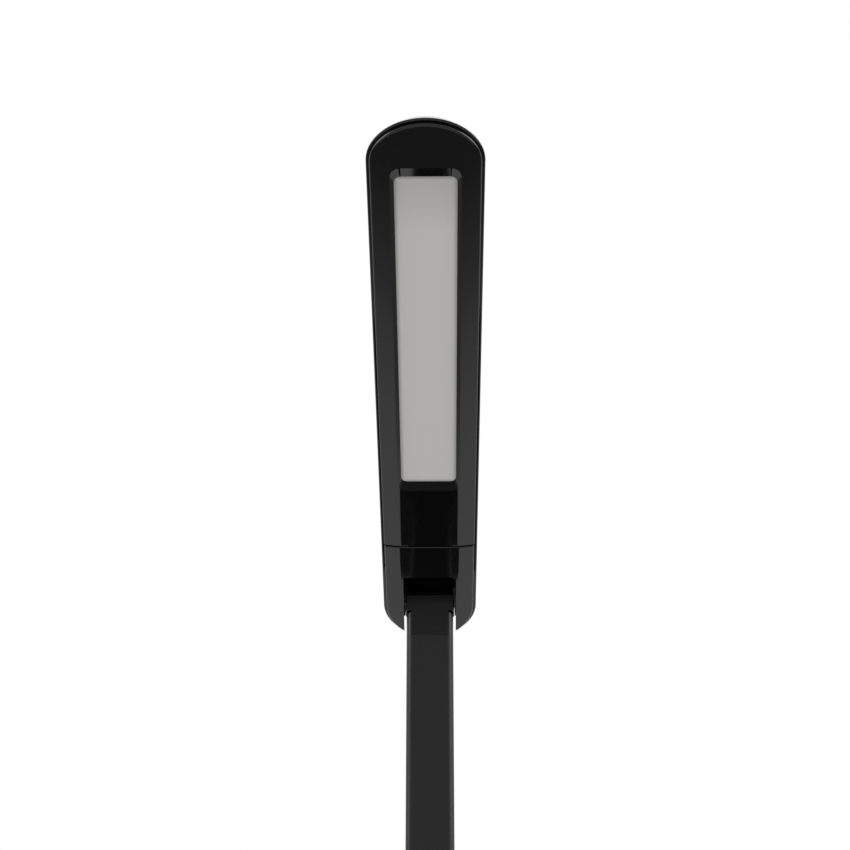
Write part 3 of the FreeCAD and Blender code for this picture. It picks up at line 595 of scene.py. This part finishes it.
class LAMP_OT_finish_base(bpy.types.Operator):
    """Give the base its polished cover, painted fork, button and foam pad"""

    bl_idname = "lamp.finish_base"
    bl_label = "Finish the base"

    def execute(self, context):
        settings = context.scene.lamp_finish
        dress(gloss_moulding("Polished black base", settings, dust=0.02), ["base_cover"])
        fork = satin_surface("Painted fork black", settings.cap_black, roughness=0.35,
                             grain_scale=1500.0, bump_distance=0.00005)
        dress(fork, ["base_hinge_fork"])
        dress(self.button_finish(), ["power_button"])
        foam = satin_surface("Foam rubber", (0.012, 0.012, 0.012), roughness=0.85,
                             grain_scale=1400.0, bump_distance=0.0002)
        dress(foam, ["anti_slip_pad"])
        return {"FINISHED"}

    def button_finish(self):
        """Satin grey button with a ring and bar printed in its dish."""
        low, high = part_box("power_button")
        centre = ((low[0] + high[0]) / 2, (low[1] + high[1]) / 2, high[2])
        material, tree, shader, place, tone = grained_material(
            "Button grey", scale=2200.0, tone=GRAIN_TONE, roughness=0.4, bump_distance=0.00005)
        x, y, z = local_place(tree, place, centre, 0.0)
        side = math_node(tree, "ABSOLUTE", x)
        from_ring = math_node(tree, "SUBTRACT", distance(tree, x, y), RING_RADIUS)
        ring = fade(tree, math_node(tree, "ABSOLUTE", from_ring), *RING_LINE)
        notch = math_node(tree, "MULTIPLY", fade(tree, side, *NOTCH_SIDE), fade(tree, y, *NOTCH_START))
        ring = math_node(tree, "MULTIPLY", ring, math_node(tree, "SUBTRACT", 1.0, notch))
        bar = math_node(tree, "MULTIPLY", fade(tree, side, *BAR_SIDE), fade(tree, y, *BAR_START))
        bar = math_node(tree, "MULTIPLY", bar, fade(tree, y, *BAR_END))
        mark = math_node(tree, "MULTIPLY", math_node(tree, "MAXIMUM", ring, bar), fade(tree, z, *DISH_LEVEL))
        tint(tree, shader, mix_colours(tree, mark, BUTTON_GREY, MARK_WHITE), tone)
        return material


class LAMP_OT_finish_inside(bpy.types.Operator):
    """Give the pieces inside the lamp their finishes"""

    bl_idname = "lamp.finish_inside"
    bl_label = "Finish the inside"

    def execute(self, context):
        for name, colour, roughness, grain, bump, metallic, nodes in INSIDE_FINISHES:
            dress(satin_surface(name, colour, roughness, grain, bump, metallic), nodes)
        bare = sorted(set(frame["nodes"]) - dressed_nodes)
        if bare:
            raise RuntimeError("no finish for " + ", ".join(bare))
        return {"FINISHED"}


# Screws that show at the back of the head and of the arm

def select_nothing():
    """Leave nothing selected, so that only the next screw is shaped."""
    if bpy.context.object and bpy.context.object.mode != "OBJECT":
        bpy.ops.object.mode_set(mode="OBJECT")
    bpy.ops.object.select_all(action="DESELECT")


def select_only(piece):
    """Make one object the selected and active one."""
    select_nothing()
    piece.select_set(True)
    bpy.context.view_layer.objects.active = piece


def start_picking(kind):
    """Get ready to pick edges or faces in code, with none selected."""
    bpy.ops.object.mode_set(mode="EDIT")
    bpy.ops.mesh.select_mode(type=kind)
    bpy.ops.mesh.select_all(action="DESELECT")
    bpy.ops.object.mode_set(mode="OBJECT")


def pick_edges_above(screw, level):
    """Select the edges whose two ends lie above a level, and go into edit mode."""
    start_picking("EDGE")
    points = screw.data.vertices
    for edge in screw.data.edges:
        edge.select = all(points[index].co.z > level for index in edge.vertices)
    bpy.ops.object.mode_set(mode="EDIT")


def pick_lowest_face(screw):
    """Select only the face at the lower end, and go into edit mode."""
    start_picking("FACE")
    lowest = min(screw.data.polygons, key=lambda face: face.center.z)
    lowest.select = True
    bpy.ops.object.mode_set(mode="EDIT")


def extrude_shank(length):
    """Pull the picked face down into a shank, and leave edit mode."""
    bpy.ops.mesh.extrude_region_move(TRANSFORM_OT_translate={"value": (0.0, 0.0, -length)})
    bpy.ops.object.mode_set(mode="OBJECT")


def cut_cross(screw, top, span, settings):
    """Cut a cross recess into a screw head from above."""
    for turn in (0.0, math.pi / 2):
        select_nothing()
        bpy.ops.mesh.primitive_cube_add(size=1.0, location=(0.0, 0.0, top), rotation=(0.0, 0.0, turn))
        wing = bpy.context.object
        wing.scale = (span, settings.recess_width, 2 * settings.recess_depth)
        bpy.ops.object.transform_apply(location=True, rotation=True, scale=True)
        select_only(screw)
        cut = screw.modifiers.new("Cross recess", "BOOLEAN")
        cut.operation = "DIFFERENCE"
        cut.solver = "EXACT"
        cut.object = wing
        bpy.ops.object.modifier_apply(modifier=cut.name)
        bpy.data.objects.remove(wing, do_unlink=True)


def finish_screw():
    """Merge the active screw's points, turn its faces out and smooth its round sides."""
    bpy.ops.object.mode_set(mode="EDIT")
    bpy.ops.mesh.select_all(action="SELECT")
    bpy.ops.mesh.remove_doubles(threshold=MERGE_DISTANCE)
    bpy.ops.mesh.normals_make_consistent(inside=False)
    bpy.ops.object.mode_set(mode="OBJECT")
    bpy.ops.object.shade_smooth_by_angle(angle=SMOOTH_ANGLE)


def set_screws(screw, name, places, material, body, node):
    """Copy one screw to its places, and let the copies stand for the CAD node."""
    screw.data.materials.clear()
    screw.data.materials.append(material)
    for number, place in enumerate(places, 1):
        select_only(screw)
        bpy.ops.object.duplicate(linked=False)
        piece = bpy.context.object
        piece.name = name + "_" + str(number)
        piece.matrix_world = place
        bpy.ops.object.transform_apply(location=True, rotation=True, scale=True)
        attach(piece, body)
        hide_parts(node)
    bpy.data.objects.remove(screw, do_unlink=True)


class LAMP_OT_model_head_screws(bpy.types.Operator):
    """Model the pan-head screws in the back of the head"""

    bl_idname = "lamp.model_head_screws"
    bl_label = "Model the head screws"

    def execute(self, context):
        settings = context.scene.lamp_screws
        height = settings.pan_height
        select_nothing()
        bpy.ops.mesh.primitive_cylinder_add(
            vertices=SCREW_SIDES, radius=settings.pan_radius, depth=height, location=(0.0, 0.0, height / 2))
        screw = context.object
        bpy.ops.object.transform_apply(location=True, rotation=True, scale=True)
        pick_edges_above(screw, (1.0 - TOP_MARGIN) * height)
        bpy.ops.mesh.bevel(offset=PAN_ROUNDING * height, segments=PAN_STEPS, affect="EDGES")
        pick_lowest_face(screw)
        bpy.ops.mesh.inset(thickness=settings.pan_radius - settings.pan_shank)
        extrude_shank(settings.pan_length)
        cut_cross(screw, height, PAN_RECESS_SPAN * settings.pan_radius, settings)
        finish_screw()
        head = Matrix.Translation(HEAD_AXIS) @ Matrix.Rotation(HEAD_TURN, 4, "X")
        flip = Matrix.Rotation(math.pi, 4, "X")
        places = [head @ Matrix.Translation((x, along, HEAD_SCREW_SEAT)) @ flip
                  for x, along in HEAD_SCREW_PLACES]
        material = screw_finish("Black oxide pan head")
        set_screws(screw, "head_pan_screw", places, material, "head", "head_screws")
        return {"FINISHED"}


class LAMP_OT_model_cap_screws(bpy.types.Operator):
    """Model the countersunk screws in the back of the arm"""

    bl_idname = "lamp.model_cap_screws"
    bl_label = "Model the arm screws"

    def execute(self, context):
        settings = context.scene.lamp_screws
        depth = settings.sunk_depth
        select_nothing()
        bpy.ops.mesh.primitive_cone_add(
            vertices=SCREW_SIDES, radius1=settings.sunk_shank, radius2=settings.sunk_radius, depth=depth,
            location=(0.0, 0.0, -depth / 2))
        screw = context.object
        bpy.ops.object.transform_apply(location=True, rotation=True, scale=True)
        pick_edges_above(screw, -TOP_MARGIN * depth)
        bpy.ops.mesh.bevel(offset=SUNK_ROUNDING * depth, segments=SUNK_STEPS, affect="EDGES")
        pick_lowest_face(screw)
        extrude_shank(settings.sunk_length)
        cut_cross(screw, 0.0, SUNK_RECESS_SPAN * settings.sunk_radius, settings)
        finish_screw()
        arm = Matrix.Translation(ARM_AXIS) @ Matrix.Rotation(ARM_TURN, 4, "X")
        turn = Matrix.Rotation(-math.pi / 2, 4, "X")
        places = [arm @ Matrix.Translation((0.0, ARM_BACK, level)) @ turn for level in CAP_SCREW_LEVELS]
        material = screw_finish("Black oxide sunk head")
        set_screws(screw, "arm_sunk_screw", places, material, "arm", "cap_screws")
        return {"FINISHED"}


# Studio

class LAMP_OT_build_stage(bpy.types.Operator):
    """Set the lamp on a pale floor under soft studio light, with its camera"""

    bl_idname = "lamp.build_stage"
    bl_label = "Build the stage"

    def execute(self, context):
        stage = context.scene.lamp_stage
        context.scene.view_settings.view_transform = "Standard"
        self.add_world(context, stage)
        self.add_floor()
        self.add_side_light(-1, stage.side_power)
        self.add_side_light(1, stage.side_power * stage.right_share)
        self.add_camera(context, stage)
        return {"FINISHED"}

    def add_world(self, context, stage):
        """Even fill light, which the camera sees as white and glossy surfaces as a dimmer front."""
        world = bpy.data.worlds.new("Studio surroundings")
        world.use_nodes = True
        tree = world.node_tree
        path = add_node(tree, "ShaderNodeLightPath")
        seen = math_node(tree, "MAXIMUM", path.outputs["Is Camera Ray"], path.outputs["Is Transmission Ray"])
        plain = remap(tree, seen, low=stage.fill)
        way = add_node(tree, "ShaderNodeTexCoord").outputs["Generated"]
        y, z = split(tree, way)[1:]
        dim = math_node(tree, "MULTIPLY", fade(tree, y, *FRONT_WAY), fade(tree, z, *ABOVE_WAY))
        mirrored = math_node(tree, "MULTIPLY_ADD", dim, stage.front_level - 1.0, 1.0)
        strength = add_node(tree, "ShaderNodeMix", {
            "Factor": path.outputs["Is Glossy Ray"], VALUE_A: plain, VALUE_B: mirrored,
        }, data_type="FLOAT")
        background = tree.nodes["Background"]
        background.inputs["Color"].default_value = WHITE
        tree.links.new(strength.outputs[VALUE_RESULT], background.inputs["Strength"])
        context.scene.world = world

    def add_floor(self):
        """Pale matt floor under the lamp."""
        bpy.ops.object.select_all(action="DESELECT")
        bpy.ops.mesh.primitive_plane_add(size=FLOOR_SIZE, location=(0.0, 0.0, 0.0))
        floor = bpy.context.object
        floor.name = "studio_floor"
        material, tree, shader, place = new_material("Pale floor")
        mottle = noise(tree, place, scale=3.0, detail=3.0)
        tree.links.new(remap(tree, mottle, low=0.82, high=0.86), shader.inputs["Base Color"])
        shader.inputs["Roughness"].default_value = 0.9
        shader.inputs["Specular IOR Level"].default_value = 0.1
        self.mirror_floor(tree, shader, place)
        floor.data.materials.append(material)

    def mirror_floor(self, tree, shader, place):
        """Painted reflection: the floor glows in pale and dim bands for glossy rays only, and far off the
        camera sees white.
        """
        x, y = split(tree, place)[:2]
        first = FLOOR_REFLECTION_GLOW[0][0]
        last = FLOOR_REFLECTION_GLOW[-1][0]
        ramp = add_node(tree, "ShaderNodeValToRGB", {"Fac": remap(tree, y, first, last)})
        stops = ramp.color_ramp.elements
        while len(stops) < len(FLOOR_REFLECTION_GLOW):
            stops.new(0.5)
        for stop, (depth, level) in zip(stops, FLOOR_REFLECTION_GLOW):
            stop.position = (depth - first) / (last - first)
            stop.color = (level, level, level, 1.0)
        across = math_node(tree, "ABSOLUTE", x)
        behind = fade(tree, y, *FLOOR_LIFTED_BEHIND)
        dimmed = fade(tree, across, *FLOOR_DIMMED_ACROSS)
        lifted = fade(tree, across, *FLOOR_LIFTED_ACROSS)
        aside = math_node(tree, "MULTIPLY_ADD", lifted, behind, dimmed)
        # Painted reflection: this glow is seen by glossy rays only, not by the camera or by diffuse light
        glow = add_node(tree, "ShaderNodeEmission", {"Color": ramp.outputs["Color"], "Strength": aside})
        path = add_node(tree, "ShaderNodeLightPath")
        mirrored = mix_shaders(
            tree, path.outputs["Is Glossy Ray"], shader.outputs["BSDF"], glow.outputs["Emission"])
        far = fade(tree, distance(tree, x, y), *FLOOR_WHITE_FROM)
        far_seen = math_node(tree, "MULTIPLY", far, path.outputs["Is Camera Ray"])
        backdrop = add_node(tree, "ShaderNodeEmission", {"Color": WHITE, "Strength": 1.0})
        mixed = mix_shaders(tree, far_seen, mirrored, backdrop.outputs["Emission"])
        tree.links.new(mixed, tree.nodes["Material Output"].inputs["Surface"])

    def add_side_light(self, side, power):
        """Tall soft light on the left (-1) or the right (1)."""
        light = bpy.data.lights.new("Side light", "AREA")
        light.shape = "RECTANGLE"
        light.size = LIGHT_WIDTH
        light.size_y = LIGHT_HEIGHT
        light.energy = power
        lamp = bpy.data.objects.new("side_light_" + ("left" if side < 0 else "right"), light)
        lamp.location = (side * LIGHT_ASIDE, LIGHT_DEPTH, LIGHT_LEVEL)
        aim = Vector(LIGHT_AIM) - lamp.location
        lamp.rotation_euler = aim.to_track_quat("-Z", "Y").to_euler()
        bpy.context.scene.collection.objects.link(lamp)

    def add_camera(self, context, stage):
        """Camera at the photograph's viewing angle."""
        camera = bpy.data.cameras.new("Photo camera")
        camera.sensor_width = SENSOR_WIDTH
        camera.lens = stage.lens
        seat = bpy.data.objects.new("photo_camera", camera)
        seat.location = HEAD_AXIS + Vector((stage.camera_right, -stage.camera_back, -stage.camera_below))
        seat.rotation_euler = (math.pi / 2 + stage.camera_pitch, 0.0, stage.camera_yaw)
        context.scene.collection.objects.link(seat)
        context.scene.camera = seat


OPERATORS = (
    LAMP_OT_finish_head, LAMP_OT_finish_diffuser, LAMP_OT_finish_arm, LAMP_OT_finish_base,
    LAMP_OT_finish_inside, LAMP_OT_model_head_screws, LAMP_OT_model_cap_screws, LAMP_OT_build_stage,
)


class LAMP_PT_sidebar(bpy.types.Panel):
    """Lists the lamp's settings and steps"""

    bl_idname = "LAMP_PT_sidebar"
    bl_label = "Desk lamp"
    bl_space_type = "VIEW_3D"
    bl_region_type = "UI"
    bl_category = "Desk lamp"

    def draw(self, context):
        for settings in (context.scene.lamp_finish, context.scene.lamp_screws, context.scene.lamp_stage):
            for name in settings.__annotations__:
                self.layout.prop(settings, name)
        for step in OPERATORS:
            self.layout.operator(step.bl_idname)


CLASSES = (LampFinishSettings, LampScrewSettings, LampStageSettings) + OPERATORS + (LAMP_PT_sidebar,)


def register():
    for kind in CLASSES:
        bpy.utils.register_class(kind)
    bpy.types.Scene.lamp_finish = PointerProperty(type=LampFinishSettings)
    bpy.types.Scene.lamp_screws = PointerProperty(type=LampScrewSettings)
    bpy.types.Scene.lamp_stage = PointerProperty(type=LampStageSettings)


def unregister():
    del bpy.types.Scene.lamp_stage
    del bpy.types.Scene.lamp_screws
    del bpy.types.Scene.lamp_finish
    for kind in reversed(CLASSES):
        bpy.utils.unregister_class(kind)


def main():
    register()
    bpy.ops.lamp.finish_head()
    bpy.ops.lamp.finish_diffuser()
    bpy.ops.lamp.finish_arm()
    bpy.ops.lamp.finish_base()
    bpy.ops.lamp.finish_inside()
    bpy.ops.lamp.model_head_screws()
    bpy.ops.lamp.model_cap_screws()
    bpy.ops.lamp.build_stage()


if __name__ == "__main__":
    main()
